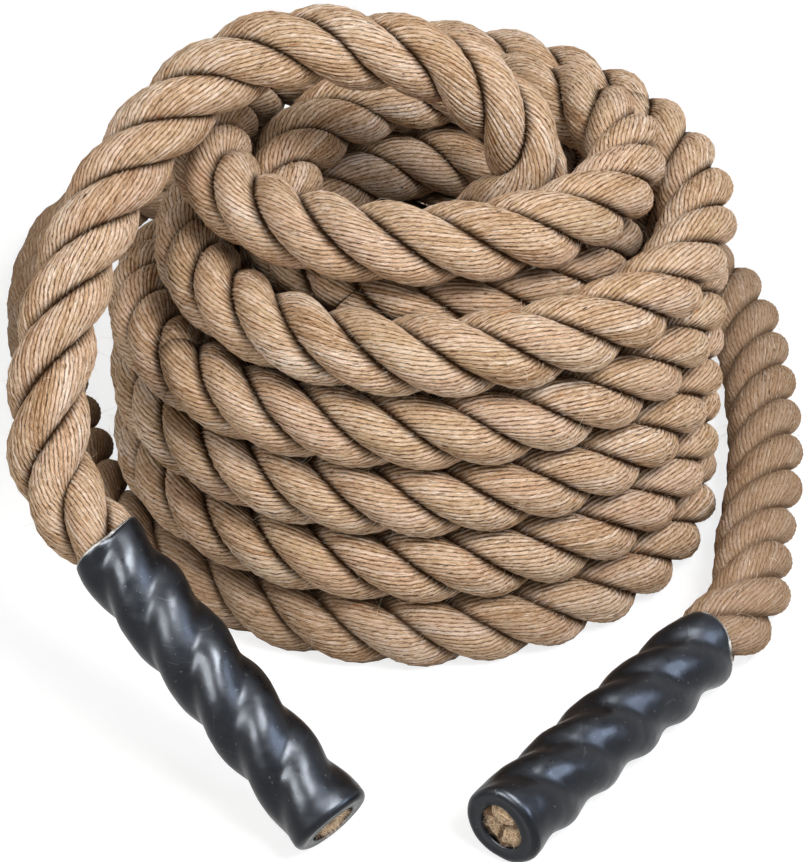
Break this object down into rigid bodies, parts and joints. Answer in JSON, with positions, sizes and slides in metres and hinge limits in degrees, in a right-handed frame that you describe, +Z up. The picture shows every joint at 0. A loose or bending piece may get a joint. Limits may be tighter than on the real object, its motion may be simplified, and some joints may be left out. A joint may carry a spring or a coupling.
{
  "type": "battle rope",
  "caption": "Thick twisted natural-fibre training rope wound in a standing coil, its two ends brought forward in ribbed black grip sleeves.",
  "frame": {"origin": "on the floor under the middle of the whole rope's outline as it lies", "axes": "+Z up from the floor, -Y towards the side where both grips point, +X to the right seen from there"},
  "size_m": [0.4108, 0.5982, 0.2755],
  "materials": {
    "natural_fibre_rope": "coarse twisted natural fibre, matte tan with fine fuzz",
    "cut_rope_end": "cut fibre ends, matte and darker tan",
    "shrunk_film": "black shrunk film, semi-gloss, following the strands",
    "glue_lining": "pale hardened glue edge"
  },
  "bodies": {
    "root": {"rope_coil": "natural_fibre_rope", "rope_arch_stretch": "natural_fibre_rope", "rope_floor_stretch": "natural_fibre_rope", "leaning_rope_end": "cut_rope_end", "floor_rope_end": "cut_rope_end", "leaning_grip_sleeve": "shrunk_film", "floor_grip_sleeve": "shrunk_film", "leaning_glue_collar": "glue_lining", "floor_glue_collar": "glue_lining"}
  },
  "joints": []
}
